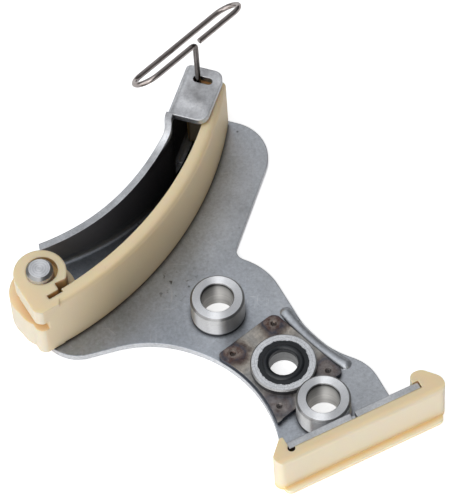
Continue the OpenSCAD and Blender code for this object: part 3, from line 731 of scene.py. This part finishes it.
finish["guide_shoe"] = nylon("shoe_nylon", (0.83, 0.745, 0.585), (0.79, 0.68, 0.49), shoe_light_and_shade)
print("made", finish["guide_shoe"].name)

# %% [markdown]
# ## Rubber, and finishes onto pieces
# The seal is black rubber, blacker still in its groove, where ambient occlusion paints shade. Then each
# solid's grey stand-in gives way to its finish.

# %% Rubber of the seal
seal_rubber, tree, shader = material("seal_rubber")
tone = place(tree, surface_tone, Cloud_Size=300.0, Grain_Size=2500.0, Cloud=0.8, Grain=0.8)
# Painted shade in the groove, from ambient occlusion.
crease = put(tree, "AmbientOcclusion", {"Distance": mm(1.2)}, samples=8).outputs["AO"]
rubber = ramp(tree, crease, (0.55, (0.001, 0.001, 0.0013)), (0.9, (0.011, 0.0135, 0.017)))
tree.links.new(grey(tree, tone["Tone"], rubber), shader.inputs["Base Color"])
tree.links.new(scaled(tree, tone["Grain"], 0.3, 0.22), shader.inputs["Roughness"])
bump(tree, shader, tone["Grain"], 0.03)
finish["feed_seal"] = seal_rubber
for name, m in finish.items():
    nodes[name].data.materials.clear()
    nodes[name].data.materials.append(m)
print("finished", sorted(finish))

# %% [markdown]
# ## Joined faces and soft edges
# The solids arrive as separate patches, one for each face. Joined, they make one closed skin, whose
# bends are shaded smooth below a chosen angle and sharp above it. This could be set on the meshes, but
# the solids have to stay as they are, so a small geometry group does it in a modifier. It also drops the
# normals that came with the patches, which would show every patch's border.

# %% Smooth below an angle
smooth_skin = bpy.data.node_groups.new("smooth_skin", "GeometryNodeTree")
for way in ("INPUT", "OUTPUT"):
    smooth_skin.interface.new_socket(name="Geometry", in_out=way, socket_type="NodeSocketGeometry")
smooth_skin.interface.new_socket(name="Angle", in_out="INPUT", socket_type="NodeSocketFloat")
start, end = smooth_skin.nodes.new("NodeGroupInput"), smooth_skin.nodes.new("NodeGroupOutput")
plain = smooth_skin.nodes.new("GeometryNodeRemoveAttribute")
plain.inputs["Name"].default_value = "custom_normal"
faces, edges = (smooth_skin.nodes.new("GeometryNodeSetShadeSmooth") for _ in range(2))
faces.domain, edges.domain = "FACE", "EDGE"
bend = smooth_skin.nodes.new("GeometryNodeInputMeshEdgeAngle")
gentle = smooth_skin.nodes.new("FunctionNodeCompare")
gentle.operation = "LESS_THAN"
smooth_skin.links.new(bend.outputs["Unsigned Angle"], gentle.inputs["A"])
smooth_skin.links.new(start.outputs["Angle"], gentle.inputs["B"])
smooth_skin.links.new(gentle.outputs["Result"], edges.inputs["Shade Smooth"])
for one, two in ((start, plain), (plain, faces), (faces, edges), (edges, end)):
    smooth_skin.links.new(one.outputs["Geometry"], two.inputs["Geometry"])
print("group", smooth_skin.name)

# %% [markdown]
# Flat faces must stay flat beside the folds, so the normals are weighted by area. The thin sheets and
# the blade have edges too short for a bevel modifier, which would fold over itself there, so their
# edges are rounded in the shading. The shoe's long clean edges do take a real bevel.

# %% Join, round and even out
gentle_bend, every_bend = math.radians(25), math.radians(180)
flat_within, sharp_from = math.radians(0.5), math.radians(35)
join_within, shoe_edge = mm(0.04), mm(0.4)


def join(piece, angle):
    """Makes one skin of a solid's patches, and shades its bends smooth below an angle."""
    piece.modifiers.new("join", "WELD").merge_threshold = join_within
    smooth = piece.modifiers.new("smooth", "NODES")
    smooth.node_group = smooth_skin
    smooth[smooth_skin.interface.items_tree["Angle"].identifier] = angle


def round_edges(piece, width):
    """Clears the lines across flat faces, then rounds the sharp edges."""
    clear = piece.modifiers.new("clear", "DECIMATE")
    clear.decimate_type, clear.angle_limit = "DISSOLVE", flat_within
    bevel = piece.modifiers.new("round", "BEVEL")
    bevel.width, bevel.segments = width, 2
    bevel.limit_method, bevel.angle_limit = "ANGLE", sharp_from
    bevel.use_clamp_overlap = bevel.harden_normals = True


def even_out(piece):
    """Weights the normals by area, so that flat faces stay flat."""
    even = piece.modifiers.new("even", "WEIGHTED_NORMAL")
    even.mode, even.keep_sharp = "FACE_AREA_WITH_ANGLE", True


for name in ("bracket", "tensioner_blade", "weld_plate"):
    join(nodes[name], gentle_bend)
    even_out(nodes[name])
join(nodes["guide_shoe"], every_bend)
round_edges(nodes["guide_shoe"], shoe_edge)
even_out(nodes["guide_shoe"])
print("joined and softened")

# %% [markdown]
# ## Flash round the seal
# Rubber that squeezes out of a mould leaves a torn edge. In the photograph the seal's outer edge is
# ragged where it lies on the ring. A bump can't change an outline, so a thin ring is built here whose
# outer radius follows two sizes of noise.

# %% Ragged flash
ring_top, flash_gap, flash_thick = 5.3, 0.005, 0.07
flash_inner, flash_outer, flash_slope = mm(6.0), 6.62, mm(0.08)
flash_under, flash_top = mm(ring_top + flash_gap), mm(ring_top + flash_thick)
steps = 220
mesh = bmesh.new()
sections = []
for i in range(steps):
    angle = 2 * math.pi * i / steps
    way = Vector((math.cos(angle), math.sin(angle), 0))
    ragged = noise.noise(way * 5) * 0.28 + noise.noise(way * 17) * 0.2
    torn = mm(flash_outer + ragged)
    profile = ((flash_inner, flash_under), (flash_inner, flash_top), (torn - flash_slope, flash_top),
               (torn, flash_under))
    sections.append([mesh.verts.new(way * r + Vector((0, 0, z))) for r, z in profile])
for one, two in zip(sections, sections[1:] + sections[:1]):
    for j in range(4):
        mesh.faces.new((one[j], two[j], two[(j + 1) % 4], one[(j + 1) % 4]))
bmesh.ops.recalc_face_normals(mesh, faces=mesh.faces)
flash_mesh = bpy.data.meshes.new("seal_flash")
mesh.to_mesh(flash_mesh)
mesh.free()
flash = bpy.data.objects.new("seal_flash", flash_mesh)
bpy.context.scene.collection.objects.link(flash)
flash_mesh.materials.append(seal_rubber)
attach(flash, "frame")
print("flash", len(flash_mesh.polygons), "faces")
